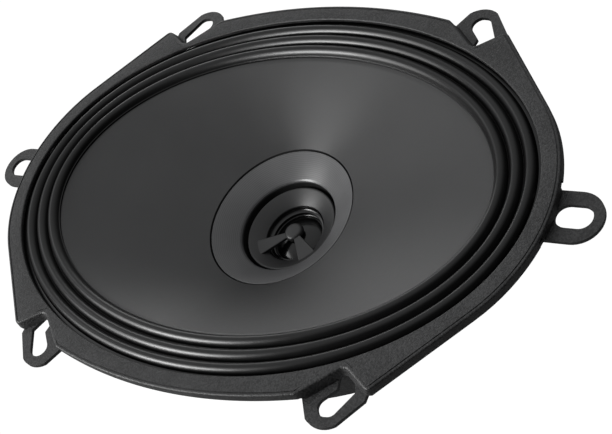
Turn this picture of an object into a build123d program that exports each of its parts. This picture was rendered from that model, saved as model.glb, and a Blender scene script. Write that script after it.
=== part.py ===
"""Coaxial car speaker, 5 x 7 inch class, as an assembly of separate pieces.

Millimetres. Z = 0 is the mounting plane (underside of the fixing ears) and +Z faces the listener.
X runs along the oval's long axis, Y along its short axis.
"""

import os
from math import pi, sin, sqrt

from build123d import *

os.makedirs("parts", exist_ok=True)

# ---- driving dimensions -------------------------------------------------------------------
sheet = 1.2  # pressed steel of the basket and of the front ring
nesting = 0.15  # assembly clearance between nested pressings

# front ring outline, one quadrant, mirrored in X and in Y
ring_half_length = 96.1
ring_half_width = 68.5
pocket_left = (43.6, 62.7)  # where the long side meets a corner pocket
pocket_apex = (54.7, 52.2)
pocket_right = (63.9, 58.1)  # where the pocket meets the diagonal
diagonal_end = (84.4, 32.9)
ring_top = 4.2
ring_overhang = 0.9  # how far the ring stands out beyond the basket's flange
pocket_round = 2.5
pocket_lean = 18.4  # degrees the pocket walls lean outwards going down
opening_x, opening_y = 90.6, 63.0

# fixing ears
end_ear_reach, end_ear_half, end_ear_root = 109.1, 7.7, 80.0
end_slot_x, end_slot_length, end_slot_width = 101.0, 10.4, 7.0
slot_tip = ((49.0, 62.9), (51.4, 66.1), (55.0, 65.6))  # outer end of a corner slot
slot_root = ((59.1, 57.8), (55.9, 51.9), (52.5, 53.2), (53.5, 57.8))  # it bends in to the pocket
slot_tip_round, slot_root_round = 2.6, 0.5
relief_width, relief_top = 2.2, 3.2  # cut in the ring's skirt on each side of an end ear

# surround: three half rolls between the cone's rim and the basket
roll_x, roll_y = 83.35, 55.85  # centre line of the middle roll
roll_pitch, rubber = 4.15, 0.6
roll_foot_z = 2.2
land_reach, lip_reach = 6.45, 8.0  # inner land and outer lip, from the middle roll's centre line

# cone and dust ring
cone_x, cone_y, cone_edge_z = 76.9, 49.4, 1.6
cone_rim, cone_wall = 2.1, 0.9
dust_r, dust_z = 24.85, -13.7
dust_hole_r, dust_hole_z, dust_wall = 16.3, -19.1, 0.65
neck_r, neck_z = 16.55, -21.5

# motor
coil_r = 16.2  # inside radius of the voice coil former
former_wall, winding_wall = 0.3, 0.6
former_top, coil_bottom, winding_height = -19.85, -44.5, 10.0
plate_z, plate_t, plate_r = -37.0, 5.0, 37.5
magnet_t, magnet_r, magnet_hole_r = 13.0, 40.0, 20.0
pole_r, gap_r = 15.8, 17.5
rivet_circle, rivet_r, rivet_count = 27.0, 1.95, 4
rivet_head_r, rivet_head_t = 3.4, 1.4

# basket
rim_x, rim_y = 89.5, 62.3
rim_band_z, rim_wall_z = -6.0, -14.3  # lower edge of the rim between the legs, and on them
landing_r, landing_z = 42.2, -28.6
cup_r, basket_hole_r = 34.8, 20.0
leg_width, board_leg_width, leg_angle = 20.0, 42.0, 49.3
window_r = 46.0
vent_count, vent_width, vent_height = 8, 9.0, 3.4

# spider
spider_wall, spider_outer, spider_flat = 0.6, 40.5, 33.2
wave_count, wave_height = 4, 0.8

# terminal board on the +Y side
board_z, board_t, board_half = -26.4, 1.6, 17.0
board_inner, board_outer = 44.0, 60.0
ledge_half, ledge_outer = 18.0, 58.0
board_slack, board_headroom = 0.3, 7.0  # of the opening in the leg round the board
ledge_window = 12.0
blade_x, blade_t, blade_drop = 9.0, 0.6, 11.0
blade_positive, blade_negative = 4.8, 2.8
board_rivet_x, board_rivet_y, board_rivet_r = 14.2, 55.0, 1.4
board_rivet_head_r, board_rivet_head_t = 2.4, 0.8
capacitor_r, capacitor_length, capacitor_y, capacitor_z = 5.0, 9.0, 53.5, -32.2
lead_r = 0.35
tinsel_path = ((30, -12.0), (36.5, -20.8), (43.5, -21.0), (47.3, -23.5))  # (y, z) of its middle line

# tweeter
face_r, face_z, face_base = 15.3, -20.5, -24.6
throat_r, throat_z, throat_floor = 10.1, -24.0, -27.6
cove_r, cove_top, cove_bottom = 8.7, -24.4, -26.5  # the throat curves in above the suspension
housing_r, housing_wall, housing_bottom, housing_floor = 14.3, 1.9, -35.0, 1.4
yoke_r, yoke_gap_r, yoke_floor = 12.2, 8.9, 1.6
tweeter_magnet_r, tweeter_magnet_t = 7.0, 1.9
tweeter_plate_r, tweeter_plate_t = 7.7, 1.9
dome_r, dome_z, dome_rise, dome_wall = 8.0, -27.4, 2.4, 0.25
film, fold_r, fold, flange_r = 0.2, 9.0, 0.7, 12.0  # tweeter suspension and its half roll
dome_coil_height, dome_winding_height, dome_former_wall, dome_winding_wall = 2.8, 2.0, 0.15, 0.35
hub_r, hub_top, hub_bottom, hub_round = 3.2, -22.0, -24.4, 0.7
arm_top, arm_t, arm_angles = -22.8, 1.1, (-142, -43)
arm_start, arm_root_half, arm_end, arm_foot_half = 1.0, 0.8, 11.9, 3.3
post_r = 4.5
wire_r, wire_x, wire_y, wire_rise_y = 0.55, 2.0, 6.0, 46.0
groove_depth = 1.8
screw_r, screw_head_r, screw_head_t = 1.45, 2.75, 2.0

motor_bottom = plate_z - 2 * plate_t - magnet_t
yoke_z = motor_bottom + plate_t  # top of the back plate
cup_floor_z = housing_bottom + housing_floor
tweeter_motor_z = cup_floor_z + yoke_floor


def finish(piece, label):
    """Names a finished piece and writes its STEP file."""
    piece.label = label
    export_step(piece, f"parts/{label}.step")


# ---- shared outlines ----------------------------------------------------------------------
# the front ring's outline, as if it had no pockets
with BuildSketch() as ring_outline:
    with BuildLine():
        TangentArc((0, ring_half_width), pocket_left, tangent=(1, 0))
        Polyline(pocket_left, pocket_right, diagonal_end)
        TangentArc((ring_half_length, 0), diagonal_end, tangent=(0, 1))
        mirror(about=Plane.YZ)
        mirror(about=Plane.XZ)
    make_face()

# the space inside the ring's skirt
with BuildSketch() as skirt_inside:
    add(ring_outline.sketch)
    offset(amount=-sheet)

# the six fixing ears
with BuildSketch() as ears:
    with BuildLine():
        crown = ThreePointArc((47.6, 67.5), (52.8, 69.05), (56.8, 67.5))
        Polyline(crown @ 1, (62.5, 59.6), (62.5, 52.0), (46.0, 52.0), (44.4, 62.3), crown @ 0)
    make_face()
    mirror(about=Plane.YZ)
    mirror(about=Plane.XZ)
    end_ear_length = end_ear_reach - end_ear_root
    with Locations((end_ear_root + end_ear_length / 2, 0), (-end_ear_root - end_ear_length / 2, 0)):
        SlotOverall(end_ear_length, 2 * end_ear_half)

with BuildSketch() as corner_slots:
    with BuildLine():
        Polyline(*slot_tip, *slot_root, close=True)
    make_face()
    fillet([corner_slots.vertices().sort_by_distance(Vertex(*p))[0] for p in slot_tip], slot_tip_round)
    fillet([corner_slots.vertices().sort_by_distance(Vertex(*p))[0] for p in slot_root], slot_root_round)
    mirror(about=Plane.YZ)
    mirror(about=Plane.XZ)

with BuildSketch() as end_slots:
    with Locations((end_slot_x, 0), (-end_slot_x, 0)):
        SlotOverall(end_slot_length, end_slot_width)


def corner_pockets(grow):
    """The four corner pockets as leaning prisms, larger by grow all round."""
    with BuildPart() as prisms:
        with BuildSketch(Plane.XY.offset(ring_top)):
            with BuildLine():
                Polyline(
                    pocket_left, pocket_apex, pocket_right, (75, 65), (75, 85), (33, 85), close=True
                )
            make_face()
            apex = Vertex(*pocket_apex, ring_top)
            fillet(vertices().sort_by_distance(apex)[0], pocket_round)
            if grow:
                offset(amount=grow)
        extrude(amount=-ring_top, taper=pocket_lean)
        mirror(about=Plane.YZ)
        mirror(about=Plane.XZ)
    return prisms.part


# ---- front ring: raised pressing that clamps the surround's lip --------------------------------
with BuildPart() as ring_hollow:
    with BuildSketch(Plane.XY.offset(sheet)):
        add(skirt_inside.sketch)
    extrude(amount=ring_top - 2 * sheet)
    add(corner_pockets(sheet), mode=Mode.SUBTRACT)

with BuildPart() as front_ring:
    with BuildSketch(Plane.XY.offset(sheet)):
        add(ring_outline.sketch)
    extrude(amount=ring_top - sheet)
    add(corner_pockets(0), mode=Mode.SUBTRACT)
    add(ring_hollow.part, mode=Mode.SUBTRACT)
    with BuildSketch():
        Ellipse(opening_x, opening_y)
    extrude(amount=ring_top, mode=Mode.SUBTRACT)
    relief_y = end_ear_half + relief_width / 2
    with GridLocations(2 * ring_half_length, 2 * relief_y, 2, 2):
        Box(4 * sheet, relief_width, 2 * relief_top, mode=Mode.SUBTRACT)
finish(front_ring.part, "front_ring")

# ---- basket: pressed frame with the ears, rim, legs, spider landing and motor cup ---------------
with BuildPart() as basket:
    with BuildSketch():
        add(ring_outline.sketch)
        offset(amount=-ring_overhang)
        add(ears.sketch)
        add(corner_slots.sketch, mode=Mode.SUBTRACT)
        add(end_slots.sketch, mode=Mode.SUBTRACT)
    extrude(amount=sheet)
    with BuildSketch(Plane.XY.offset(rim_wall_z)):
        Ellipse(rim_x, rim_y)
    extrude(amount=-rim_wall_z)
    with BuildSketch(Plane.XY.offset(rim_wall_z)):
        Ellipse(rim_x, rim_y)
    with BuildSketch(Plane.XY.offset(landing_z - sheet)):
        Circle(landing_r)
    loft()
    with BuildSketch(Plane.XY.offset(plate_z)):
        Circle(cup_r)
    extrude(amount=landing_z - sheet - plate_z)
    with BuildSketch(Plane.XY.offset(rim_wall_z + sheet)):
        Ellipse(rim_x - sheet, rim_y - sheet)
    extrude(amount=-rim_wall_z, mode=Mode.SUBTRACT)
    with BuildSketch(Plane.XY.offset(rim_wall_z + sheet)):
        Ellipse(rim_x - sheet, rim_y - sheet)
    with BuildSketch(Plane.XY.offset(landing_z)):
        Circle(landing_r - sheet)
    loft(mode=Mode.SUBTRACT)
    with BuildSketch(Plane.XY.offset(plate_z + sheet)):
        Circle(cup_r - sheet)
    extrude(amount=landing_z - plate_z - sheet, mode=Mode.SUBTRACT)
    with BuildSketch(Plane.XY.offset(landing_z + sheet)):
        Circle(2 * rim_x)
        Circle(window_r, mode=Mode.SUBTRACT)
        with Locations((0, rim_x)):
            Rectangle(board_leg_width, 2 * rim_x, mode=Mode.SUBTRACT)
        for angle in (leg_angle, -leg_angle):
            Rectangle(4 * rim_x, leg_width, rotation=angle, mode=Mode.SUBTRACT)
    extrude(amount=rim_band_z - landing_z - sheet, mode=Mode.SUBTRACT)
    # ledge and opening for the terminal board, cut out below it for the wires and the capacitor
    ledge_y = (board_inner + ledge_outer) / 2
    with Locations((0, ledge_y, board_z - sheet / 2)):
        Box(2 * ledge_half, ledge_outer - board_inner, sheet)
    with Locations((0, (board_inner + rim_y) / 2, board_z + board_headroom / 2)):
        opening_width, opening_depth = 2 * (board_half + board_slack), rim_y - board_inner + 5 * sheet
        Box(opening_width, opening_depth, board_headroom, mode=Mode.SUBTRACT)
    with Locations((0, ledge_y + sheet, board_z - sheet / 2)):
        Box(ledge_window, ledge_outer - board_inner + 3 * sheet, 1.1 * sheet, mode=Mode.SUBTRACT)
    with Locations((board_rivet_x, board_rivet_y, board_z), (-board_rivet_x, board_rivet_y, board_z)):
        Hole(board_rivet_r + 0.1, depth=sheet)
    # vents in the cup's wall, rivet holes and the voice coil's hole in its floor
    with PolarLocations(cup_r, vent_count, start_angle=180 / vent_count):
        with Locations((0, 0, (landing_z + plate_z) / 2)):
            Box(4 * sheet, vent_width, vent_height, mode=Mode.SUBTRACT)
    with Locations((0, 0, plate_z + sheet)):
        Hole(basket_hole_r, depth=sheet)
        with PolarLocations(rivet_circle, rivet_count, start_angle=45):
            Hole(rivet_r + 0.1, depth=sheet)
finish(basket.part, "basket")

# ---- surround: triple half roll in rubber -------------------------------------------------------
roll_r = roll_pitch / 2
with BuildPart() as surround:
    with BuildLine() as roll_path:
        EllipticalCenterArc((0, 0), roll_x, roll_y, arc_size=360)
    with BuildSketch(Plane.XZ):
        with BuildLine():
            land, lip = roll_x - land_reach, roll_x + lip_reach
            foot, under = roll_foot_z, roll_foot_z - rubber
            inside = roll_r - rubber
            for centre in (roll_x - roll_pitch, roll_x, roll_x + roll_pitch):
                ThreePointArc((centre - roll_r, foot), (centre, foot + roll_r), (centre + roll_r, foot))
                ThreePointArc((centre - inside, foot), (centre, foot + inside), (centre + inside, foot))
            for centre in (roll_x - roll_r, roll_x + roll_r):
                left, right = centre - rubber, centre + rubber
                Polyline((left, foot), (left, under), (right, under), (right, foot))
            first, last = roll_x - roll_pitch - roll_r, roll_x + roll_pitch + roll_r
            Polyline((first, foot), (land, foot), (land, under), (first + rubber, under), (first + rubber, foot))
            Polyline((last, foot), (lip, foot), (lip, sheet), (last - rubber, sheet), (last - rubber, foot))
        make_face()
    sweep(path=roll_path.wire())
finish(surround.part, "surround")

# ---- cone: oval at the rim, round at the neck -----------------------------------------------------
with BuildPart() as cone:
    with BuildSketch(Plane.XY.offset(cone_edge_z - cone_wall)):
        Ellipse(cone_x + cone_rim, cone_y + cone_rim)
    extrude(amount=cone_wall)
    with BuildSketch(Plane.XY.offset(dust_z - cone_wall)):
        Circle(dust_r)
    with BuildSketch(Plane.XY.offset(cone_edge_z - cone_wall)):
        Ellipse(cone_x, cone_y)
    loft()
    with BuildSketch(Plane.XY.offset(neck_z - cone_wall)):
        Circle(neck_r)
    with BuildSketch(Plane.XY.offset(dust_z - cone_wall)):
        Circle(dust_r)
    loft()
    with BuildSketch(Plane.XY.offset(dust_z)):
        Circle(dust_r)
    with BuildSketch(Plane.XY.offset(cone_edge_z)):
        Ellipse(cone_x, cone_y)
    loft(mode=Mode.SUBTRACT)
    with BuildSketch(Plane.XY.offset(neck_z)):
        Circle(neck_r)
    with BuildSketch(Plane.XY.offset(dust_z)):
        Circle(dust_r)
    loft(mode=Mode.SUBTRACT)
    with BuildSketch(Plane.XY.offset(neck_z - cone_wall)):
        Circle(neck_r)
    extrude(amount=cone_wall, mode=Mode.SUBTRACT)
finish(cone.part, "cone")

# ---- dust ring: shallow funnel between the cone and the coil --------------------------------------
neck_slope = (dust_z - neck_z) / (dust_r - neck_r)
dust_slope = (dust_z - dust_hole_z) / (dust_r - dust_hole_r)
seat_r = dust_r - dust_wall / (neck_slope - dust_slope)
seat_z = dust_z - neck_slope * (dust_r - seat_r)
with BuildPart() as dust_ring:
    with BuildSketch(Plane.XZ):
        with BuildLine():
            Polyline(
                (dust_r, dust_z),
                (dust_hole_r, dust_hole_z),
                (dust_hole_r, dust_hole_z - dust_wall),
                (seat_r, seat_z),
                close=True,
            )
        make_face()
    revolve(axis=Axis.Z)
finish(dust_ring.part, "dust_ring")

# ---- voice coil -------------------------------------------------------------------------------------
with BuildPart() as former:
    with BuildSketch(Plane.XY.offset(coil_bottom)):
        Circle(coil_r + former_wall)
        Circle(coil_r, mode=Mode.SUBTRACT)
    extrude(amount=former_top - coil_bottom)
finish(former.part, "voice_coil_former")

with BuildPart() as winding:
    with BuildSketch(Plane.XY.offset(coil_bottom)):
        Circle(coil_r + former_wall + winding_wall)
        Circle(coil_r + former_wall, mode=Mode.SUBTRACT)
    extrude(amount=winding_height)
finish(winding.part, "voice_coil_winding")

# ---- spider: corrugated cloth disc -------------------------------------------------------------------
spider_inner = coil_r + former_wall + 0.05
wave_start, wave_end = spider_inner + 2.0, spider_flat
quarters = range(4 * wave_count + 1)
wave = [
    (wave_start + (wave_end - wave_start) * n / (4 * wave_count), wave_height * sin(n * pi / 2))
    for n in quarters
]
with BuildPart() as spider:
    with BuildSketch(Plane.XZ):
        with BuildLine():
            upper = Spline(*[(r, landing_z + spider_wall + z) for r, z in wave])
            lower = Spline(*[(r, landing_z + z) for r, z in wave])
            Polyline(
                upper @ 0,
                (spider_inner, landing_z + spider_wall),
                (spider_inner, landing_z),
                lower @ 0,
            )
            Polyline(
                upper @ 1,
                (spider_outer, landing_z + spider_wall),
                (spider_outer, landing_z),
                lower @ 1,
            )
        make_face()
    revolve(axis=Axis.Z)
finish(spider.part, "spider")

# ---- motor -----------------------------------------------------------------------------------------
with BuildPart() as top_plate:
    with BuildSketch(Plane.XY.offset(plate_z - plate_t)):
        Circle(plate_r)
        Circle(gap_r, mode=Mode.SUBTRACT)
    extrude(amount=plate_t)
    with Locations((0, 0, plate_z)):
        with PolarLocations(rivet_circle, rivet_count, start_angle=45):
            Hole(rivet_r + 0.1, depth=plate_t)
finish(top_plate.part, "top_plate")

with BuildPart() as magnet:
    with BuildSketch(Plane.XY.offset(yoke_z)):
        Circle(magnet_r)
        Circle(magnet_hole_r, mode=Mode.SUBTRACT)
    extrude(amount=magnet_t)
    outer = magnet.edges().filter_by(GeomType.CIRCLE).group_by(SortBy.RADIUS)[-1]
    chamfer(outer, 1.0)
finish(magnet.part, "magnet")

with BuildPart() as yoke:
    with BuildSketch(Plane.XY.offset(motor_bottom)):
        Circle(plate_r)
    extrude(amount=plate_t)
    with BuildSketch(Plane.XY.offset(yoke_z)):
        Circle(pole_r)
    extrude(amount=plate_z - yoke_z)
    with Locations((0, 0, plate_z)):
        Hole(screw_r + 0.15)
        with Locations((wire_x, wire_y), (-wire_x, wire_y)):
            Hole(wire_r + 0.25)
    groove_start = wire_y - 2.5 * wire_r
    with Locations((0, (groove_start + plate_r) / 2, motor_bottom + groove_depth / 2)):
        Box(2 * wire_x + 2.0, plate_r - groove_start, groove_depth, mode=Mode.SUBTRACT)
    with Locations((0, 0, motor_bottom + (screw_head_t + 0.4) / 2)):
        Cylinder(screw_head_r + 0.35, screw_head_t + 0.4, mode=Mode.SUBTRACT)
finish(yoke.part, "pole_yoke")

with BuildPart() as plate_rivets:
    with PolarLocations(rivet_circle, rivet_count, start_angle=45):
        with Locations((0, 0, plate_z - plate_t / 2 + sheet / 2)):
            Cylinder(rivet_r, plate_t + sheet)
        with Locations((0, 0, plate_z + sheet + rivet_head_t / 2)):
            Cylinder(rivet_head_r, rivet_head_t)
    heads = plate_rivets.edges().filter_by(GeomType.CIRCLE).group_by(Axis.Z)[-1]
    fillet(heads, 1.0)
finish(plate_rivets.part, "plate_rivets")

# ---- terminal board, blades, rivets and crossover capacitor -----------------------------------------
with BuildPart() as terminal_board:
    with Locations((0, (board_inner + board_outer) / 2, board_z + board_t / 2)):
        Box(2 * board_half, board_outer - board_inner, board_t)
    fillet(terminal_board.edges().filter_by(Axis.Z), 1.5)
    with Locations(
        (board_rivet_x, board_rivet_y, board_z + board_t),
        (-board_rivet_x, board_rivet_y, board_z + board_t),
    ):
        Hole(board_rivet_r + 0.1)
finish(terminal_board.part, "terminal_board")


def blade(centre_x, width, label):
    """An L-shaped spade: it lies on the board and turns down past the board's outer edge."""
    top = board_z + board_t
    with BuildPart() as spade:
        with BuildSketch(Plane.YZ.offset(centre_x - width / 2)):
            with BuildLine():
                start, bend = board_inner + 2, board_outer + blade_t
                Polyline(
                    (start, top),
                    (bend, top),
                    (bend, top - blade_drop),
                    (bend + blade_t, top - blade_drop),
                    (bend + blade_t, top + blade_t),
                    (start, top + blade_t),
                    close=True,
                )
            make_face()
        extrude(amount=width)
    finish(spade.part, label)


blade(blade_x, blade_positive, "terminal_positive")
blade(-blade_x, blade_negative, "terminal_negative")

with BuildPart() as board_rivets:
    with Locations(
        (board_rivet_x, board_rivet_y, board_z + (board_t - sheet) / 2),
        (-board_rivet_x, board_rivet_y, board_z + (board_t - sheet) / 2),
    ):
        Cylinder(board_rivet_r, board_t + sheet)
        for side in (1, -1):
            with Locations((0, 0, side * (board_t + sheet + board_rivet_head_t) / 2)):
                Cylinder(board_rivet_head_r, board_rivet_head_t)
finish(board_rivets.part, "board_rivets")

with BuildPart() as capacitor:
    with Locations(Location((0, capacitor_y, capacitor_z), (90, 0, 0))):
        Cylinder(capacitor_r, capacitor_length)
    fillet(capacitor.edges().filter_by(GeomType.CIRCLE), 0.6)
finish(capacitor.part, "crossover_capacitor")


def round_wire(points, radius, bend):
    """A round wire along a bent path."""
    with BuildPart() as run:
        with BuildLine() as path:
            FilletPolyline(*points, radius=bend)
        with BuildSketch(Plane(path.line @ 0, z_dir=path.line % 0)):
            Circle(radius)
        sweep(path=path.wire())
    return run.part


capacitor_end = capacitor_length / 2 + 0.02
with BuildPart() as capacitor_leads:
    for side in (1, -1):
        start, turn = capacitor_y + side * capacitor_end, capacitor_y + side * (capacitor_end + 1.2)
        ends = ((0, start, capacitor_z), (0, turn, capacitor_z), (0, turn, board_z - 0.02))
        add(round_wire(ends, lead_r, 0.6))
finish(capacitor_leads.part, "capacitor_leads")

with BuildPart() as tweeter_wires:
    for x in (wire_x, -wire_x):
        run_z = motor_bottom + groove_depth / 2
        route = (
            (x, wire_y, cup_floor_z - 0.1),
            (x, wire_y, run_z),
            (x, wire_rise_y, run_z),
            (x, wire_rise_y, board_z - 0.02),
        )
        add(round_wire(route, wire_r, 1.0))
finish(tweeter_wires.part, "tweeter_wires")

# tinsel leads hang from the cone's back to the inner ends of the blades
with BuildPart() as tinsel_leads:
    for x in (blade_x, -blade_x):
        with BuildLine() as hang:
            Spline(*[(x, y, z) for y, z in tinsel_path])
        with BuildSketch(Plane(hang.line @ 0, z_dir=hang.line % 0)):
            Circle(wire_r)
        sweep(path=hang.wire())
finish(tinsel_leads.part, "tinsel_leads")

# ---- tweeter ------------------------------------------------------------------------------------------
with BuildPart() as tweeter_post:
    with BuildSketch(Plane.XY.offset(plate_z)):
        Circle(post_r)
        Circle(screw_r + 0.1, mode=Mode.SUBTRACT)
    extrude(amount=housing_bottom - plate_z)
finish(tweeter_post.part, "tweeter_post")

with BuildPart() as tweeter_screw:
    head_top = motor_bottom + screw_head_t + 0.4
    with BuildSketch(Plane.XY.offset(head_top - screw_head_t)):
        Circle(screw_head_r)
    extrude(amount=screw_head_t)
    with BuildSketch(Plane.XY.offset(head_top)):
        Circle(screw_r)
    extrude(amount=cup_floor_z - 0.1 - head_top)
    with Locations((0, 0, head_top - screw_head_t + 0.5)):
        Box(0.9, 3.6, 1.0, mode=Mode.SUBTRACT)
        Box(3.6, 0.9, 1.0, mode=Mode.SUBTRACT)
finish(tweeter_screw.part, "tweeter_screw")

with BuildPart() as tweeter_housing:
    with BuildSketch(Plane.XY.offset(housing_bottom)):
        Circle(housing_r)
    extrude(amount=face_base - housing_bottom)
    with BuildSketch(Plane.XY.offset(cup_floor_z)):
        Circle(housing_r - housing_wall)
    extrude(amount=face_base - cup_floor_z, mode=Mode.SUBTRACT)
    with Locations((0, 0, cup_floor_z)):
        Hole(screw_r + 0.05)
        with Locations((wire_x, wire_y), (-wire_x, wire_y)):
            Hole(wire_r + 0.25)
finish(tweeter_housing.part, "tweeter_housing")

with BuildPart() as tweeter_yoke:
    with BuildSketch(Plane.XY.offset(cup_floor_z)):
        Circle(yoke_r)
    extrude(amount=throat_floor - film - cup_floor_z)
    with BuildSketch(Plane.XY.offset(tweeter_motor_z)):
        Circle(yoke_gap_r)
    extrude(amount=throat_floor - film - tweeter_motor_z, mode=Mode.SUBTRACT)
finish(tweeter_yoke.part, "tweeter_yoke")

with BuildPart() as tweeter_magnet:
    with BuildSketch(Plane.XY.offset(tweeter_motor_z)):
        Circle(tweeter_magnet_r)
    extrude(amount=tweeter_magnet_t)
finish(tweeter_magnet.part, "tweeter_magnet")

with BuildPart() as tweeter_plate:
    with BuildSketch(Plane.XY.offset(tweeter_motor_z + tweeter_magnet_t)):
        Circle(tweeter_plate_r)
    extrude(amount=tweeter_plate_t)
finish(tweeter_plate.part, "tweeter_pole_plate")

cap_radius = (dome_r**2 + dome_rise**2) / (2 * dome_rise)


def cap_point(r, drop):
    """A point of the dome's meridian at radius r, lowered by drop."""
    return (r, dome_z + dome_rise - cap_radius + sqrt(cap_radius**2 - r**2) - drop)


with BuildPart() as dome:
    with BuildSketch(Plane.XZ):
        with BuildLine():
            over = ThreePointArc(cap_point(0, 0), cap_point(dome_r / 2, 0), cap_point(dome_r, 0))
            below = ThreePointArc(
                cap_point(0, dome_wall), cap_point(dome_r / 2, dome_wall), cap_point(dome_r, dome_wall)
            )
            Line(over @ 0, below @ 0)
            Line(over @ 1, below @ 1)
        make_face()
    revolve(axis=Axis.Z)
finish(dome.part, "tweeter_dome")

with BuildPart() as tweeter_suspension:
    with BuildSketch(Plane.XZ):
        with BuildLine():
            z, start, end = throat_floor, dome_r + film, fold_r + fold
            Polyline((start, z - film), (start, z), (fold_r - fold, z))
            ThreePointArc((fold_r - fold, z), (fold_r, z + fold), (end, z))
            Polyline((end, z), (flange_r, z), (flange_r, z - film), (end - film, z - film))
            Polyline((start, z - film), (fold_r - fold + film, z - film))
            ThreePointArc(
                (fold_r - fold + film, z - film), (fold_r, z + fold - film), (end - film, z - film)
            )
        make_face()
    revolve(axis=Axis.Z)
finish(tweeter_suspension.part, "tweeter_suspension")

with BuildPart() as tweeter_coil:
    coil_top = dome_z - dome_wall - 0.02
    former_r = dome_r + dome_former_wall
    with BuildSketch(Plane.XY.offset(coil_top - dome_coil_height)):
        Circle(former_r)
        Circle(dome_r, mode=Mode.SUBTRACT)
    extrude(amount=dome_coil_height)
    with BuildSketch(Plane.XY.offset(coil_top - dome_coil_height)):
        Circle(former_r + dome_winding_wall)
        Circle(former_r, mode=Mode.SUBTRACT)
    extrude(amount=dome_winding_height)
finish(tweeter_coil.part, "tweeter_coil")

with BuildPart() as faceplate:
    with BuildSketch(Plane.XZ):
        with BuildLine():
            JernArc((throat_r, cove_top), (0, -1), throat_r - cove_r, -90)
            Polyline(
                (cove_r, cove_top - throat_r + cove_r),
                (cove_r, cove_bottom),
                (throat_r, cove_bottom),
                (throat_r, throat_floor),
                (yoke_r, throat_floor),
                (yoke_r, face_base),
                (face_r, face_base),
                (face_r, face_z),
                (throat_r, throat_z),
                (throat_r, cove_top),
            )
        make_face()
    revolve(axis=Axis.Z)
    with BuildSketch(Plane.XY.offset(arm_top - arm_t)):
        for angle in arm_angles:
            with Locations(Location((0, 0, 0), (0, 0, angle))):
                with BuildLine(mode=Mode.PRIVATE) as arm:
                    inner, outer = (arm_start, arm_root_half), (arm_end, arm_foot_half)
                    Polyline((inner[0], -inner[1]), (outer[0], -outer[1]), outer, inner, close=True)
                add(make_face(arm.wire(), mode=Mode.PRIVATE))
    extrude(amount=arm_t)
    with BuildSketch(Plane.XY.offset(hub_bottom)):
        Circle(hub_r)
    extrude(amount=hub_top - hub_bottom)
    nose = faceplate.edges().filter_by(GeomType.CIRCLE).filter_by_position(
        Axis.Z, hub_top - 0.01, hub_top + 0.01
    )
    fillet(nose, hub_round)
finish(faceplate.part, "tweeter_faceplate")
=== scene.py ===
"""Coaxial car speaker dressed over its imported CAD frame.

Lengths are in millimetres, in the frame's own axes: Z = 0 is the mounting plane, +Z faces the
listener, X is the oval's long axis. A mesh is turned to metres when it is made.
"""

from math import atan2, cos, hypot, pi, radians, sin, tan

import bmesh
import bpy
from mathutils import Matrix, Quaternion, Vector
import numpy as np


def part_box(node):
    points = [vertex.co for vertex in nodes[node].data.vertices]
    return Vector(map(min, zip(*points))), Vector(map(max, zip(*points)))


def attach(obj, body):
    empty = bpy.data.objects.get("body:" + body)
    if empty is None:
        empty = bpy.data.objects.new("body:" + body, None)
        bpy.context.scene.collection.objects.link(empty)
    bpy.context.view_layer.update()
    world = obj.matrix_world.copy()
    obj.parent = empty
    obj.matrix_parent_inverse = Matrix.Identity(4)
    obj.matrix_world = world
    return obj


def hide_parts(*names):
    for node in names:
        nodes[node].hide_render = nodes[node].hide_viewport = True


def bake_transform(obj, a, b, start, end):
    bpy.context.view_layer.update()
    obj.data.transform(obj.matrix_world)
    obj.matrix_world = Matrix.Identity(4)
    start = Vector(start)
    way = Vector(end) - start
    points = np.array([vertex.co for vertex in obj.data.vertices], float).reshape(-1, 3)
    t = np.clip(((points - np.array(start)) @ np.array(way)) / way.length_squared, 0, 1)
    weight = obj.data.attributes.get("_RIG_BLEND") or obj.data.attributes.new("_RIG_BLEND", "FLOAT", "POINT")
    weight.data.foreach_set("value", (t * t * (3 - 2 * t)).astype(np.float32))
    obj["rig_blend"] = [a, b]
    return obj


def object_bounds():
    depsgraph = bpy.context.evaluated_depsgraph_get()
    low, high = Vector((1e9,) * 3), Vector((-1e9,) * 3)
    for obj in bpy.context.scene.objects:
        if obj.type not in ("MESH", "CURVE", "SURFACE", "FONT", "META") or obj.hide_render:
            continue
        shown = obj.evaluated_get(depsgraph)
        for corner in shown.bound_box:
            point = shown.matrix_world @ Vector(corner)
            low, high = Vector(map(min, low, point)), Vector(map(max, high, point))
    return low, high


MM = 0.001
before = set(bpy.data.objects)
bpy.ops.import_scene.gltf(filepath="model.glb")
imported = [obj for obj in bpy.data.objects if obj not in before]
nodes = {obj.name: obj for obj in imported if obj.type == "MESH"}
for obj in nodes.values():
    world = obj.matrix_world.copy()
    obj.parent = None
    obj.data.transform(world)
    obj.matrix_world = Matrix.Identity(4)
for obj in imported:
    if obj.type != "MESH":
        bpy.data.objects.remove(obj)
cad_low, cad_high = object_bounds()


def size(node):
    """Lowest and highest corner of a CAD node in millimetres."""
    low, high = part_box(node)
    return low / MM, high / MM


# ---- materials -----------------------------------------------------------------------------
def ramp(tree, factor, low, high):
    """A factor from 0 to 1 stretched between two numbers."""
    node = tree.nodes.new("ShaderNodeMapRange")
    node.inputs["To Min"].default_value = low
    node.inputs["To Max"].default_value = high
    tree.links.new(factor, node.inputs["Value"])
    return node.outputs["Result"]


def noise(tree, place, grain, detail=3.0):
    """Noise whose features are about grain millimetres wide."""
    node = tree.nodes.new("ShaderNodeTexNoise")
    node.inputs["Scale"].default_value = 1 / (grain * MM)
    node.inputs["Detail"].default_value = detail
    tree.links.new(place, node.inputs["Vector"])
    return node.outputs["Fac"]


def arithmetic(tree, operation, first, second):
    """One arithmetic node."""
    node = tree.nodes.new("ShaderNodeMath")
    node.operation = operation
    for socket, value in zip(node.inputs, (first, second)):
        if isinstance(value, (int, float)):
            socket.default_value = value
        else:
            tree.links.new(value, socket)
    return node.outputs[0]


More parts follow.
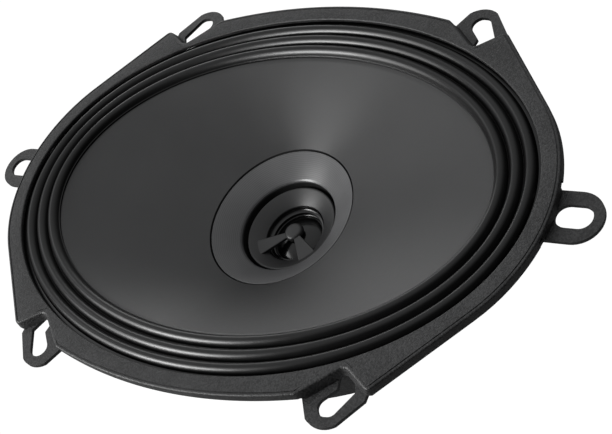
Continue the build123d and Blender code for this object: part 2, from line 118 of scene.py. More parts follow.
def weighted(tree, first, second, share):
    """The mean of two values, with share of the first."""
    part = arithmetic(tree, "MULTIPLY", first, share)
    rest = arithmetic(tree, "MULTIPLY", second, 1 - share)
    return arithmetic(tree, "ADD", part, rest)


def material(
    name,
    dark,
    light,
    rough,
    grain,
    relief,
    metal=0.0,
    patch=14.0,
    specular=0.5,
    pattern=None,
):
    """A finish whose colour, roughness and relief all vary over the surface.

    dark and light are the ends of its colour, rough the ends of its roughness, grain the width
    and relief the height of its texture, and patch the width of its slow unevenness.
    pattern, if given, makes the texture's height instead of plain noise.
    """
    made = bpy.data.materials.new(name)
    made.use_nodes = True
    tree = made.node_tree
    shader = tree.nodes["Principled BSDF"]
    place = tree.nodes.new("ShaderNodeTexCoord").outputs["Object"]
    fine = pattern(tree, place) if pattern else noise(tree, place, grain)
    slow = noise(tree, place, patch, 2.0)
    speck = noise(tree, place, grain * 2.3, 2.0)
    mixed = weighted(tree, fine, slow, 0.45)
    colour = tree.nodes.new("ShaderNodeMix")
    colour.data_type = "RGBA"
    colour.inputs["A"].default_value = (*dark, 1)
    colour.inputs["B"].default_value = (*light, 1)
    tree.links.new(ramp(tree, mixed, -0.6, 1.6), colour.inputs["Factor"])
    tree.links.new(colour.outputs["Result"], shader.inputs["Base Color"])
    uneven = weighted(tree, slow, speck, 0.5)
    tree.links.new(ramp(tree, uneven, *rough), shader.inputs["Roughness"])
    shader.inputs["Metallic"].default_value = metal
    shader.inputs["Specular IOR Level"].default_value = specular
    bump = tree.nodes.new("ShaderNodeBump")
    bump.inputs["Distance"].default_value = relief * MM
    tree.links.new(fine, bump.inputs["Height"])
    tree.links.new(bump.outputs["Normal"], shader.inputs["Normal"])
    return made


def weave(pitch):
    """A height pattern of crossing threads, pitch millimetres apart."""

    def pattern(tree, place):
        heights = []
        for axis in ("X", "Y"):
            bands = tree.nodes.new("ShaderNodeTexWave")
            bands.bands_direction = axis
            bands.inputs["Scale"].default_value = 0.314 / (pitch * MM)
            bands.inputs["Distortion"].default_value = 0.6
            tree.links.new(place, bands.inputs["Vector"])
            heights.append(bands.outputs["Fac"])
        return arithmetic(tree, "MULTIPLY", *heights)

    return pattern


def fibre(grain):
    """A height pattern of pressed pulp: soft lumps crossed by short fibres."""

    def pattern(tree, place):
        stretch = tree.nodes.new("ShaderNodeMapping")
        stretch.inputs["Scale"].default_value = (1.0, 3.5, 1.0)
        stretch.inputs["Rotation"].default_value = (0.0, 0.0, 0.6)
        tree.links.new(place, stretch.inputs["Vector"])
        strands = noise(tree, stretch.outputs["Vector"], grain * 2.5, 4.0)
        lumps = noise(tree, place, grain * 1.2, 4.0)
        return weighted(tree, strands, lumps, 0.5)

    return pattern


def turned(pitch):
    """A height pattern of fine circular tool marks round the Z axis."""

    def pattern(tree, place):
        rings = tree.nodes.new("ShaderNodeTexWave")
        rings.wave_type = "RINGS"
        rings.rings_direction = "Z"
        rings.inputs["Scale"].default_value = 0.314 / (pitch * MM)
        rings.inputs["Distortion"].default_value = 0.3
        tree.links.new(place, rings.inputs["Vector"])
        return rings.outputs["Fac"]

    return pattern


def powder(grain):
    """A height pattern of powder coat: small lumps standing clear of each other."""

    def pattern(tree, place):
        lumps = tree.nodes.new("ShaderNodeMapRange")
        lumps.inputs["From Min"].default_value = 0.36
        lumps.inputs["From Max"].default_value = 0.66
        tree.links.new(noise(tree, place, grain, 2.0), lumps.inputs["Value"])
        return lumps.outputs["Result"]

    return pattern


def grey(level):
    """A neutral colour."""
    return (level, level, level * 1.02)


finishes = {
    "frame_coat": material(
        "frame_coat", grey(0.002), grey(0.027), (0.36, 0.60), 0.5, 0.05, patch=9.0, pattern=powder(0.5)
    ),
    "surround_rubber": material(
        "surround_rubber", grey(0.0015), grey(0.004), (0.24, 0.34), 0.8, 0.002, patch=18.0, specular=0.36
    ),
    "cone_pulp": material(
        "cone_pulp", grey(0.011), grey(0.021), (0.32, 0.46), 0.5, 0.010, patch=22.0, pattern=fibre(0.5)
    ),
    "dust_plastic": material(
        "dust_plastic", grey(0.060), grey(0.090), (0.28, 0.40), 0.3, 0.006, patch=10.0, pattern=turned(0.5)
    ),
    "former_film": material(
        "former_film", grey(0.010), grey(0.016), (0.35, 0.50), 0.4, 0.004, patch=6.0
    ),
    "coil_wire": material(
        "coil_wire", (0.42, 0.15, 0.05), (0.62, 0.26, 0.10), (0.25, 0.40), 0.3, 0.02, metal=1.0
    ),
    "spider_cloth": material(
        "spider_cloth", (0.30, 0.19, 0.07), (0.47, 0.31, 0.13), (0.75, 0.92), 0.5, 0.06, pattern=weave(0.55)
    ),
    "motor_steel": material(
        "motor_steel", grey(0.020), grey(0.034), (0.30, 0.48), 0.4, 0.012, patch=12.0, pattern=turned(0.35)
    ),
    "ferrite": material(
        "ferrite", grey(0.030), grey(0.060), (0.50, 0.72), 0.3, 0.02, patch=7.0
    ),
    "rivet_steel": material(
        "rivet_steel", grey(0.30), grey(0.45), (0.25, 0.42), 0.4, 0.008, metal=1.0, patch=4.0
    ),
    "board_plastic": material(
        "board_plastic", (0.030, 0.018, 0.012), (0.052, 0.032, 0.020), (0.42, 0.60), 0.3, 0.012
    ),
    "blade_tin": material(
        "blade_tin", (0.60, 0.59, 0.56), (0.76, 0.75, 0.72), (0.22, 0.36), 0.3, 0.006, metal=1.0, patch=3.0
    ),
    "capacitor_sleeve": material(
        "capacitor_sleeve", (0.010, 0.022, 0.075), (0.018, 0.038, 0.12), (0.22, 0.34), 0.3, 0.004
    ),
    "lead_wire": material(
        "lead_wire", grey(0.55), grey(0.70), (0.25, 0.40), 0.2, 0.004, metal=1.0
    ),
    "wire_sleeve": material(
        "wire_sleeve", grey(0.012), grey(0.020), (0.35, 0.50), 0.2, 0.004
    ),
    "tinsel_braid": material(
        "tinsel_braid", (0.42, 0.20, 0.10), (0.66, 0.40, 0.22), (0.30, 0.48), 0.15, 0.02, metal=1.0
    ),
    "post_brass": material(
        "post_brass", (0.55, 0.37, 0.13), (0.70, 0.50, 0.20), (0.20, 0.34), 0.3, 0.006, metal=1.0
    ),
    "tweeter_plastic": material(
        "tweeter_plastic", grey(0.012), grey(0.022), (0.34, 0.46), 0.3, 0.006, patch=8.0
    ),
    "neodymium": material(
        "neodymium", grey(0.50), grey(0.62), (0.16, 0.28), 0.4, 0.004, metal=1.0
    ),
    "plate_zinc": material(
        "plate_zinc", (0.50, 0.51, 0.53), (0.64, 0.65, 0.67), (0.26, 0.42), 0.4, 0.006, metal=1.0
    ),
    "dome_film": material(
        "dome_film", grey(0.002), grey(0.004), (0.12, 0.22), 0.3, 0.002, patch=5.0, specular=0.4
    ),
}


# ---- mesh helpers --------------------------------------------------------------------------
def piece(name, points, faces, finish, body, replaced, crease=35):
    """A closed mesh in millimetres as a piece of the object."""
    mesh = bpy.data.meshes.new(name)
    mesh.from_pydata([(x * MM, y * MM, z * MM) for x, y, z in points], [], faces)
    work = bmesh.new()
    work.from_mesh(mesh)
    bmesh.ops.recalc_face_normals(work, faces=work.faces)
    work.to_mesh(mesh)
    work.free()
    mesh.shade_smooth()
    mesh.set_sharp_from_angle(angle=radians(crease))
    mesh.materials.append(finishes[finish])
    made = bpy.data.objects.new(name, mesh)
    bpy.context.collection.objects.link(made)
    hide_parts(*replaced)
    if body:
        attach(made, body)
    return made


def ring_faces(columns, rows):
    """Quads round a closed loop of columns, each a closed profile of rows points."""
    faces = []
    for column in range(columns):
        beside = (column + 1) % columns
        for row in range(rows):
            below = (row + 1) % rows
            faces.append(
                (column * rows + row, beside * rows + row, beside * rows + below, column * rows + below)
            )
    return faces


def rounded(corners, steps=5):
    """A closed outline through corners (x, y, radius), each turned by an arc of its radius."""
    outline = []
    for n, (x, y, radius) in enumerate(corners):
        here = Vector((x, y))
        back = Vector(corners[n - 1][:2]) - here
        ahead = Vector(corners[(n + 1) % len(corners)][:2]) - here
        half = back.angle(ahead) / 2
        if radius == 0 or half > 1.5:
            outline.append((x, y))
            continue
        back.normalize()
        ahead.normalize()
        reach = radius / tan(half)
        centre = here + (back + ahead).normalized() * radius / sin(half)
        start = here + back * reach - centre
        end = here + ahead * reach - centre
        turn = atan2(start.x * end.y - start.y * end.x, start.dot(end))
        for k in range(steps + 1):
            spoke = start.copy()
            spoke.rotate(Matrix.Rotation(turn * k / steps, 2))
            outline.append(tuple(centre + spoke))
    return outline


def lathe(profile, columns):
    """Points and faces of a closed profile (r, z) turned round the Z axis."""
    points = []
    for column in range(columns):
        t = 2 * pi * column / columns
        points += [(r * cos(t), r * sin(t), z) for r, z in profile]
    return points, ring_faces(columns, len(profile))


def oval_point(half_x, half_y, t, out=0.0):
    """The point of an ellipse at parameter t, moved out along the ellipse's normal."""
    across, along = cos(t) / half_x, sin(t) / half_y
    length = hypot(across, along)
    return half_x * cos(t) + out * across / length, half_y * sin(t) + out * along / length


def bend_by(made, bodies, share):
    """The piece bends between two bodies; share(x, y) is how far a point follows the second."""
    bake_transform(made, *bodies, (0, 0, 0), (0, 0, 1))
    weights = made.data.attributes["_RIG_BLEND"].data
    for vertex, weight in zip(made.data.vertices, weights):
        x, y, _ = vertex.co / MM
        weight.value = share(x, y)


def ease(value, start, end):
    """0 at start, 1 at end and smooth between."""
    t = min(max((value - start) / (end - start), 0.0), 1.0)
    return t * t * (3 - 2 * t)


# ---- front ring ----------------------------------------------------------------------------
SHEET = 1.2
(_, _, RING_BOTTOM), (RING_X, RING_Y, RING_TOP) = size("front_ring")
OPENING = (90.6, 63.0)
POCKET_LEFT, POCKET_APEX, POCKET_RIGHT = (43.6, 62.7), (54.7, 52.2), (63.9, 58.1)
DIAGONAL_END = (84.4, 32.9)
POCKET_LEAN = tan(radians(18.4))
END_EAR_HALF, RELIEF_WIDTH, RELIEF_TOP = 7.7, 2.2, 3.2
EAR_SIDE_X = 90.0  # the outline beyond this X lies beside an end ear
SLIVER = 0.02  # half the gap between the two points at a relief's edge


def arc_from_axis(reach, end, steps, along_x):
    """Points of the arc that leaves an axis square to it and ends at end, from 1 step on."""
    far, near = end if along_x else end[::-1]
    radius = (far**2 + (reach - near) ** 2) / (2 * (reach - near))
    sweep = atan2(far, near - reach + radius)
    arc = []
    for k in range(steps):
        a = sweep * k / steps
        side, out = radius * sin(a), reach - radius + radius * cos(a)
        arc.append((side, out) if along_x else (out, side))
    return arc


def ring_quadrant():
    """The ring's outline in the first quadrant, from the X axis to the Y axis, with corner radii."""
    right = [(x, y, 0) for x, y in arc_from_axis(RING_X, DIAGONAL_END, 30, False)]
    left = [(x, y, 0) for x, y in arc_from_axis(RING_Y, POCKET_LEFT, 24, True)]
    corners = [(*DIAGONAL_END, 0)]
    corners += [(*POCKET_RIGHT, 1.6), (*POCKET_APEX, 2.5), (*POCKET_LEFT, 1.8)]
    return right + corners + left[::-1]


def ring_outline():
    """The ring's closed outline as points."""
    quadrant = ring_quadrant()
    corners = []
    for sx, sy, order in ((1, 1, 1), (-1, 1, -1), (-1, -1, 1), (1, -1, -1)):
        turned_round = [(sx * x, sy * y, r) for x, y, r in quadrant[::order]]
        corners += turned_round[1:] if corners else turned_round
    corners.pop()
    outline = []
    dense = rounded(corners)
    for n, (x, y) in enumerate(dense):
        outline.append((x, y))
        after = dense[(n + 1) % len(dense)]
        gap = hypot(after[0] - x, after[1] - y)
        extra = int(gap / 2.5)
        outline += [
            (x + (after[0] - x) * k / (extra + 1), y + (after[1] - y) * k / (extra + 1))
            for k in range(1, extra + 1)
        ]
    return outline


def split_at_reliefs(outline):
    """Adds a close pair of points to the outline at each edge of the ear's reliefs."""
    edges = [s * e for s in (1, -1) for e in (END_EAR_HALF, END_EAR_HALF + RELIEF_WIDTH)]
    refined = []
    for n, (x, y) in enumerate(outline):
        after = outline[(n + 1) % len(outline)]
        refined.append((x, y))
        crossed = [e for e in edges if abs(x) > EAR_SIDE_X and min(y, after[1]) < e < max(y, after[1])]
        crossed.sort(reverse=after[1] < y)
        for edge in crossed:
            share = (edge - y) / (after[1] - y)
            px = x + (after[0] - x) * share
            step = SLIVER if after[1] > y else -SLIVER
            refined += [(px, edge - step), (px, edge + step)]
    return refined


def skirt_bottom(x, y):
    """How low the ring's wall reaches at an outline point."""
    in_relief = END_EAR_HALF < abs(y) < END_EAR_HALF + RELIEF_WIDTH
    return RELIEF_TOP if abs(x) > EAR_SIDE_X and in_relief else RING_BOTTOM


def pocket_share(x, y):
    """1 on a pocket's leaning wall and 0 on the upright skirt."""
    line = Vector(POCKET_RIGHT) - Vector(POCKET_LEFT)
    off = Vector((abs(x), abs(y))) - Vector(POCKET_LEFT)
    depth = (line.y * off.x - line.x * off.y) / line.length
    inside = POCKET_LEFT[0] - 0.4 < abs(x) < POCKET_RIGHT[0] + 0.4
    return ease(depth, 0.1, 1.2) if inside else 0.0


def front_ring():
    """The raised pressing that clamps the surround, with its skirt and corner pockets."""
    outline = split_at_reliefs(ring_outline())
    points = []
    bend, lip, arc = 0.55, 0.5, 4  # radii of the outer bend and of the opening's edge, arc steps
    strip, groove, chamfer = 0.95, 0.28, 0.15
    for n, (x, y) in enumerate(outline):
        before, after = Vector(outline[n - 1]), Vector(outline[(n + 1) % len(outline)])
        along = (after - before).normalized()
        out = Vector((along.y, -along.x))
        lean = POCKET_LEAN * pocket_share(x, y)
        # the opening's point in the same direction from the middle
        direction = atan2(y, x)
        reach = 1 / hypot(cos(direction) / OPENING[0], sin(direction) / OPENING[1])
        hole = Vector((reach * cos(direction), reach * sin(direction)))
        outward = (Vector((x, y)) - hole).normalized()
        edge = Vector((x, y))
        breadth = (edge - hole).length
        radius = min(bend, 0.55 * breadth)
        inner = min(lip, 0.3 * breadth)
        low = skirt_bottom(x, y)
        profile = [(hole, RING_TOP - SHEET)]
        for k in range(arc + 1):
            a = pi / 2 * k / arc
            profile.append((hole + outward * inner * (1 - cos(a)), RING_TOP - inner + inner * sin(a)))
        # the joint line and the narrow strip outside it, which end at the pockets
        share = 1 - pocket_share(x, y)
        for back, down in ((0.22, 0), (0.16, 0.8), (-0.16, 0.8), (-0.22, 0)):
            place = edge - out * (strip + back) * min(1, 0.8 * breadth)
            profile.append((place, RING_TOP - groove * down * share))
        for k in range(arc + 1):
            a = pi / 2 * k / arc
            drop = radius * (1 - cos(a))
            profile.append((edge + out * (lean * drop - radius * (1 - sin(a))), RING_TOP - drop))
        foot = edge + out * lean * (RING_TOP - low)
        profile.append((foot, low + chamfer))
        profile.append((foot - out * chamfer, low))
        wall = min(SHEET, 0.6 * breadth)
        profile.append((foot - out * (wall - chamfer), low))
        profile.append((foot - out * wall, low + chamfer))
        profile.append((edge + out * (lean * SHEET - wall), RING_TOP - SHEET))
        points += [(p.x, p.y, z) for p, z in profile]
    faces = ring_faces(len(outline), len(profile))
    return piece("front_ring_shell", points, faces, "frame_coat", "frame", ["front_ring"], 40)


# ---- surround ------------------------------------------------------------------------------
ROLL_X, ROLL_Y, ROLL_PITCH, RUBBER = 83.35, 55.85, 4.15, 0.6
ROLL_FOOT, ROLL_PEAK = 2.2, 1.7  # a peak over 1 narrows the crests and widens the valleys
LAND, LIP = -6.45, 8.0
_, (_, _, ROLL_CREST) = size("surround")


def roll_profile():
    """The surround's section: (offset from the middle roll, z), round the closed section."""
    upper = [(LIP, ROLL_FOOT)]
    lower = []
    crest = ROLL_CREST - ROLL_FOOT
    first = 1.5 * ROLL_PITCH
    steps = 14
    for roll in range(3):
        centre = first - ROLL_PITCH / 2 - roll * ROLL_PITCH
        for k in range(steps + 1):
            a = pi * (0.045 + 0.91 * k / steps)
            rise = sin(a) ** ROLL_PEAK
            upper.append((centre + ROLL_PITCH / 2 * cos(a), ROLL_FOOT + crest * rise))
            inside = ROLL_PITCH / 2 - RUBBER
            lower.append((centre + inside * cos(a), ROLL_FOOT - 0.3 + (crest - RUBBER) * rise))
    upper += [(-first - 0.05, ROLL_FOOT), (LAND + 0.05, ROLL_FOOT), (LAND, ROLL_FOOT - 0.08)]
    lower.append((LAND, ROLL_FOOT - RUBBER))
    lower.insert(0, (first - RUBBER, SHEET))
    lower.insert(0, (LIP, SHEET))
    return upper + lower[::-1]


def surround():
    """Three half rolls of rubber between the cone's rim and the basket's lip."""
    profile = roll_profile()
    columns = 256
    points = []
    for column in range(columns):
        t = 2 * pi * column / columns
        for out, z in profile:
            points.append((*oval_point(ROLL_X, ROLL_Y, t, out), z))
    faces = ring_faces(columns, len(profile))
    made = piece("surround_rolls", points, faces, "surround_rubber", None, ["surround"], 60)
    weights = []
    for _ in range(columns):
        weights += [1 - ease(out, -6.2, 6.2) for out, _ in profile]
    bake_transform(made, "frame", "woofer", (0, 0, 0), (0, 0, 1))
    made.data.attributes["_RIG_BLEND"].data.foreach_set("value", weights)
    return made


# ---- cone and dust ring --------------------------------------------------------------------
CONE_X, CONE_Y, CONE_EDGE, CONE_RIM, CONE_WALL = 76.9, 49.4, 1.6, 2.1, 0.9
DUST_R, DUST_Z, DUST_HOLE_R, DUST_HOLE_Z, DUST_WALL = 24.85, -13.7, 16.3, -19.1, 0.65
NECK_R, NECK_Z = 16.55, -21.5
SEAT_R, SEAT_Z = DUST_R - 0.05, DUST_Z - 0.8  # foot of the step the dust ring sits inside


def cone():
    """The diaphragm: oval at its flat rim, round at its neck."""
    columns, rows = 256, 22
    rim = (CONE_RIM, CONE_RIM / 2, 0.15)
    points = []
    for column in range(columns):
        t = 2 * pi * column / columns
        upper = [(*oval_point(CONE_X, CONE_Y, t, out), CONE_EDGE) for out in rim]
        for k in range(rows + 1):
            share = 0.004 + 0.996 * k / rows
            x = (CONE_X + (DUST_R - CONE_X) * share) * cos(t)
            y = (CONE_Y + (DUST_R - CONE_Y) * share) * sin(t)
            upper.append((x, y, CONE_EDGE + (DUST_Z - CONE_EDGE) * share))
        for k in range(5):
            r = SEAT_R + (NECK_R - SEAT_R) * k / 4
            upper.append((r * cos(t), r * sin(t), SEAT_Z + (NECK_Z - SEAT_Z) * k / 4))
        lower = [(x, y, z - CONE_WALL) for x, y, z in upper]
        points += upper + lower[::-1]
    faces = ring_faces(columns, 2 * len(upper))
    return piece("cone_shell", points, faces, "cone_pulp", "woofer", ["cone"], 50)


def dust_ring():
    """The shallow funnel that closes the cone round the tweeter."""
    slope = (DUST_Z - DUST_HOLE_Z) / (DUST_R - DUST_HOLE_R)
    edge = DUST_R - 0.5
    profile = rounded(
        [
            (edge, DUST_Z - 0.3, 0.08),
            (DUST_HOLE_R + 0.5, DUST_HOLE_Z + 0.5 * slope + 0.02, 0.3),
            (DUST_HOLE_R, DUST_HOLE_Z - 0.15, 0.25),
            (DUST_HOLE_R, DUST_HOLE_Z - DUST_WALL - 0.35, 0.1),
            (DUST_HOLE_R + 0.5, DUST_HOLE_Z - DUST_WALL - 0.05, 0.2),
            (edge, DUST_Z - 0.85, 0),
        ]
    )
    return piece("dust_funnel", *lathe(profile, 160), "dust_plastic", "woofer", ["dust_ring"], 40)


# ---- spider --------------------------------------------------------------------------------
def spider():
    """The corrugated cloth disc that centres the coil."""
    outer = size("spider")[1].x
    inner, flat, landing, wall = NECK_R, 33.2, -28.6, 0.6
    waves, height = 4, 0.8
    start = inner + 2.0
    steps = 64
    upper = [(inner, landing + wall)]
    for k in range(steps + 1):
        r = start + (flat - start) * k / steps
        upper.append((r, landing + wall + height * sin(2 * pi * waves * k / steps)))
    upper.append((outer, landing + wall))
    lower = [(r, z - wall) for r, z in upper]
    made = piece(
        "spider_disc", *lathe(upper + lower[::-1], 144), "spider_cloth", None, ["spider"], 60
    )
    bend_by(made, ("frame", "woofer"), lambda x, y: 1 - ease(hypot(x, y), start, flat))
    return made


# ---- tweeter -------------------------------------------------------------------------------
FACE_R, FACE_Z, FACE_BASE = 15.3, -20.5, -24.6
THROAT_R, THROAT_Z, THROAT_FLOOR = 10.1, -24.0, -27.6
COVE_R, COVE_TOP, COVE_BOTTOM = 8.7, -24.4, -26.5
HUB_R, HUB_TOP, HUB_BOTTOM, HUB_ROUND = 3.2, -22.4, -24.4, 1.3
ARM_TOP, ARM_T, ARM_ANGLES = -22.8, 1.1, (-142, -43)
ARM_START, ARM_ROOT_HALF, ARM_END, ARM_FOOT_HALF = 1.0, 0.8, 12.6, 3.1
ARM_RISE, ARM_DIP = 0.4, 0.35  # the arms slope from the funnel down to the bullet
HOUSING_R = 12.2


def section_arc(centre_r, centre_z, radius, start, end, steps):
    """Points of an arc in a turned section, from angle start to end in degrees."""
    sweep = [radians(start + (end - start) * k / steps) for k in range(steps + 1)]
    return [(centre_r + radius * cos(a), centre_z + radius * sin(a)) for a in sweep]


def tweeter_throat():
    """The funnel round the tweeter and the glossy cove under it."""
    lip = COVE_TOP
    funnel = rounded(
        [
            (FACE_R, FACE_Z, 0.5),
            (THROAT_R, THROAT_Z, 0.35),
            (THROAT_R, lip, 0),
            (HOUSING_R, lip, 0),
            (HOUSING_R, FACE_BASE, 0),
            (FACE_R, FACE_BASE, 0.3),
        ]
    )
    piece("tweeter_funnel", *lathe(funnel, 128), "tweeter_plastic", "frame", ["tweeter_faceplate"])
    bulge = THROAT_R - COVE_R
    cove = section_arc(COVE_R, lip, bulge, 0, -90, 8)
    cove += [(COVE_R, COVE_BOTTOM + 0.15), (COVE_R + 0.15, COVE_BOTTOM)]
    cove += [(THROAT_R, COVE_BOTTOM), (THROAT_R, THROAT_FLOOR)]
    cove += [(HOUSING_R, THROAT_FLOOR), (HOUSING_R, lip)]
    piece("tweeter_cove", *lathe(cove, 128), "dome_film", "frame", [])


def tweeter_film():
    """The thin film with one half roll that carries the dome."""
    start, z, film, fold_r, fold = 8.2, THROAT_FLOOR, 0.2, 9.0, 0.7
    upper = [(start, z), (fold_r - fold, z), *section_arc(fold_r, z, fold, 165, 15, 8), (fold_r + fold, z)]
    upper.append((HOUSING_R - film, z))
    lower = [(r, height - film) for r, height in upper]
    profile = upper + lower[::-1]
    made = piece("tweeter_film", *lathe(profile, 96), "dome_film", None, ["tweeter_suspension"])
    inner, outer = fold_r - fold, fold_r + fold
    bend_by(made, ("frame", "tweeter"), lambda x, y: 1 - ease(hypot(x, y), inner, outer))


def tweeter_hub():
    """The bullet on two widening arms in front of the dome."""
    hub = [(0.01, HUB_TOP)]
    hub += section_arc(HUB_R - HUB_ROUND, HUB_TOP - HUB_ROUND, HUB_ROUND, 84, 0, 8)
    hub += [(HUB_R, HUB_BOTTOM + 0.4), (HUB_R - 0.4, HUB_BOTTOM), (0.01, HUB_BOTTOM)]
    piece("tweeter_bullet", *lathe(hub, 64), "tweeter_plastic", "frame", [], 50)
    for n, angle in enumerate(ARM_ANGLES):
        turn = Matrix.Rotation(radians(angle), 2)
        root = [(ARM_START, -ARM_ROOT_HALF), (ARM_START, ARM_ROOT_HALF)]
        foot = [(ARM_END, ARM_FOOT_HALF), (ARM_END, -ARM_FOOT_HALF)]
        corners = [turn @ Vector(p) for p in foot + root]
        rise = (ARM_RISE, ARM_RISE, -ARM_DIP, -ARM_DIP)
        tops = (ARM_TOP, ARM_TOP - ARM_T)
        points = [(*p, z + up) for z in tops for p, up in zip(corners, rise)]
        faces = [(0, 1, 2, 3), (7, 6, 5, 4)]
        faces += [(k, (k + 1) % 4, (k + 1) % 4 + 4, k + 4) for k in range(4)]
        arm = piece(f"tweeter_arm_{n + 1}", points, faces, "tweeter_plastic", "frame", [], 30)
        soften(arm, 0.35)


# ---- tinsel leads --------------------------------------------------------------------------
TINSEL_X, TINSEL_R, TINSEL_TURNS = 9.0, 0.5, 14
STRANDS, STRAND_RELIEF = 3, 0.06
TINSEL_PATH = ((30, -12.0), (36.5, -20.8), (43.5, -21.0), (47.3, -23.5))


def tinsel():
    """Two braided leads that hang from the cone's back to the blades and flex with it."""
    steps, sides = 72, 12
    bends = [Vector((y, z)) for y, z in TINSEL_PATH]
    knots = [2 * bends[0] - bends[1], *bends, 2 * bends[-1] - bends[-2]]
    line = []
    for k in range(steps + 1):
        span = min(int(k * 3 / steps), 2)
        t = k * 3 / steps - span
        a, b, c, d = knots[span : span + 4]
        square = 2 * a - 5 * b + 4 * c - d
        cube = 3 * b - a - 3 * c + d
        line.append(0.5 * (2 * b + (c - a) * t + square * t**2 + cube * t**3))
    slack = 2  # how far from each end the bending starts
    first, last = TINSEL_PATH[0][0] + slack, TINSEL_PATH[-1][0] - slack
    for side in (1, -1):
        points = []
        for k, centre in enumerate(line):
            along = (line[min(k + 1, steps)] - line[max(k - 1, 0)]).normalized()
            for n in range(sides):
                a = 2 * pi * n / sides
                strand = STRAND_RELIEF * sin(STRANDS * a + 2 * pi * TINSEL_TURNS * k / steps)
                out = (TINSEL_R + strand) * cos(a)
                x = side * TINSEL_X + (TINSEL_R + strand) * sin(a)
                points.append((x, centre.x - along.y * out, centre.y + along.x * out))
        faces = []
        for k in range(steps * sides):
            beside = k + 1 if (k + 1) % sides else k + 1 - sides
            faces.append((k, beside, beside + sides, k + sides))
        faces += [tuple(range(sides)), tuple(range(steps * sides, (steps + 1) * sides))]
        name = "tinsel_positive" if side > 0 else "tinsel_negative"
        lead = piece(name, points, faces, "tinsel_braid", None, ["tinsel_leads"] if side > 0 else [])
        bend_by(lead, ("frame", "woofer"), lambda x, y: 1 - ease(y, first, last))


def soften(made, width, segments=3):
    """Rounds a piece's sharp edges, width in millimetres."""
    bevel = made.modifiers.new("edges", "BEVEL")
    bevel.width = width * MM
    bevel.segments = segments
    bevel.limit_method = "ANGLE"
    bevel.angle_limit = radians(35)
    bevel.harden_normals = True


# ---- dressing of the CAD nodes that stay -----------------------------------------------------
def dress():
    """Gives every CAD node the finish of its own slot, and paints the tweeter's copper coil dark as shade.
    """
    for name, node in nodes.items():
        current = node.data.materials[0].name if node.data.materials else ""
        # the tweeter's copper coil gets the dark former finish: painted shade where it shows through the gap
        # round the dome
        finish = "former_film" if name == "tweeter_coil" else current.split(".")[0]
        node.data.materials.clear()
        node.data.materials.append(finishes.get(finish, finishes["motor_steel"]))


# ---- stage ---------------------------------------------------------------------------------
def floor():
    """A plain floor under the magnet: white to the camera, grey in what the part reflects."""
    reach = 4.0
    z = cad_low.z - 0.0005
    mesh = bpy.data.meshes.new("floor")
    corners = [(-reach, -reach, z), (reach, -reach, z), (reach, reach, z), (-reach, reach, z)]
    mesh.from_pydata(corners, [], [(0, 1, 2, 3)])
    made = bpy.data.objects.new("floor", mesh)
    bpy.context.collection.objects.link(made)
    paint = bpy.data.materials.new("floor_paint")
    paint.use_nodes = True
    tree = paint.node_tree
    shader = tree.nodes["Principled BSDF"]
    shader.inputs["Base Color"].default_value = (0.25, 0.25, 0.25, 1)
    shader.inputs["Roughness"].default_value = 0.9
    glow = tree.nodes.new("ShaderNodeEmission")
    glow.inputs["Strength"].default_value = 1.05
    seen = tree.nodes.new("ShaderNodeLightPath")
    mix = tree.nodes.new("ShaderNodeMixShader")
    tree.links.new(seen.outputs["Is Camera Ray"], mix.inputs["Fac"])
    tree.links.new(shader.outputs["BSDF"], mix.inputs[1])
    tree.links.new(glow.outputs["Emission"], mix.inputs[2])
    tree.links.new(mix.outputs["Shader"], tree.nodes["Material Output"].inputs["Surface"])
    mesh.materials.append(paint)


LIGHT_DISTANCE = 0.9


def softbox(name, toward, width, height, power):
    """A soft rectangular light in the given direction, facing the object."""
    lamp = bpy.data.lights.new(name, "AREA")
    lamp.shape = "RECTANGLE"
    lamp.size, lamp.size_y = width, height
    lamp.energy = power
    made = bpy.data.objects.new(name, lamp)
    bpy.context.collection.objects.link(made)
    direction = Vector(toward).normalized()
    made.location = direction * LIGHT_DISTANCE
    made.rotation_euler = (-direction).to_track_quat("-Z", "Y").to_euler()


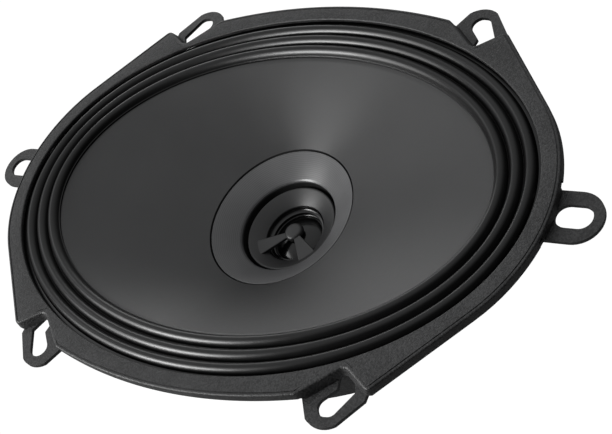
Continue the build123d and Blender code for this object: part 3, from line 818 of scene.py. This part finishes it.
def room(toward, dim, bright):
    """A world that glows from dim to bright towards one side, and is white behind the object."""
    world = bpy.data.worlds.new("room")
    world.use_nodes = True
    tree = world.node_tree
    facing = tree.nodes.new("ShaderNodeVectorMath")
    facing.operation = "DOT_PRODUCT"
    facing.inputs[1].default_value = Vector(toward).normalized()
    tree.links.new(tree.nodes.new("ShaderNodeTexCoord").outputs["Generated"], facing.inputs[0])
    share = tree.nodes.new("ShaderNodeMapRange")
    share.interpolation_type = "SMOOTHSTEP"
    share.inputs["From Min"].default_value = 0.1
    share.inputs["From Max"].default_value = 1.0
    share.inputs["To Min"].default_value = dim
    share.inputs["To Max"].default_value = bright
    tree.links.new(facing.outputs["Value"], share.inputs["Value"])
    seen = tree.nodes.new("ShaderNodeLightPath").outputs["Is Camera Ray"]
    background = tree.nodes["Background"]
    background.inputs["Color"].default_value = (0.98, 0.99, 1.0, 1)
    strength = arithmetic(tree, "MAXIMUM", seen, share.outputs["Result"])
    tree.links.new(strength, background.inputs["Strength"])
    bpy.context.scene.world = world


def lights():
    """Soft studio light: a room brighter on one side, three faint softboxes and a small bright one."""
    room((-0.35, 0.35, 0.87), 0.03, 0.78)
    softbox("key", (-0.74, -0.53, 0.46), 0.5, 0.5, 3.9)
    softbox("side", (-0.72, 0.68, 0.04), 0.5, 0.4, 1.4)
    softbox("rim", (-0.82, 0.14, 0.56), 0.3, 0.3, 0.3)
    softbox("spot", (-0.57, -0.69, 0.39), 0.32, 0.22, 6.0)


def camera():
    """The photograph's viewpoint: level angles, then a roll about the line of sight."""
    azimuth, elevation, roll = radians(54.37), radians(45.82), radians(39.09)
    aim, distance = Vector((0.0205, -0.0075, 0.0)), 0.3646
    back = Vector((sin(azimuth) * cos(elevation), -cos(azimuth) * cos(elevation), sin(elevation)))
    lens = bpy.data.cameras.new("camera")
    lens.lens = 74.23
    lens.sensor_width = 36.0
    lens.clip_start = 0.01
    made = bpy.data.objects.new("camera", lens)
    bpy.context.collection.objects.link(made)
    made.location = aim + back * distance
    made.rotation_mode = "QUATERNION"
    level = (-back).to_track_quat("-Z", "Y")
    made.rotation_quaternion = level @ Quaternion((0, 0, 1), -roll)
    bpy.context.scene.camera = made


front_ring()
surround()
cone()
dust_ring()
spider()
tweeter_throat()
tweeter_film()
tweeter_hub()
tinsel()
dress()
floor()
lights()
camera()
bpy.context.scene.view_settings.view_transform = "Standard"
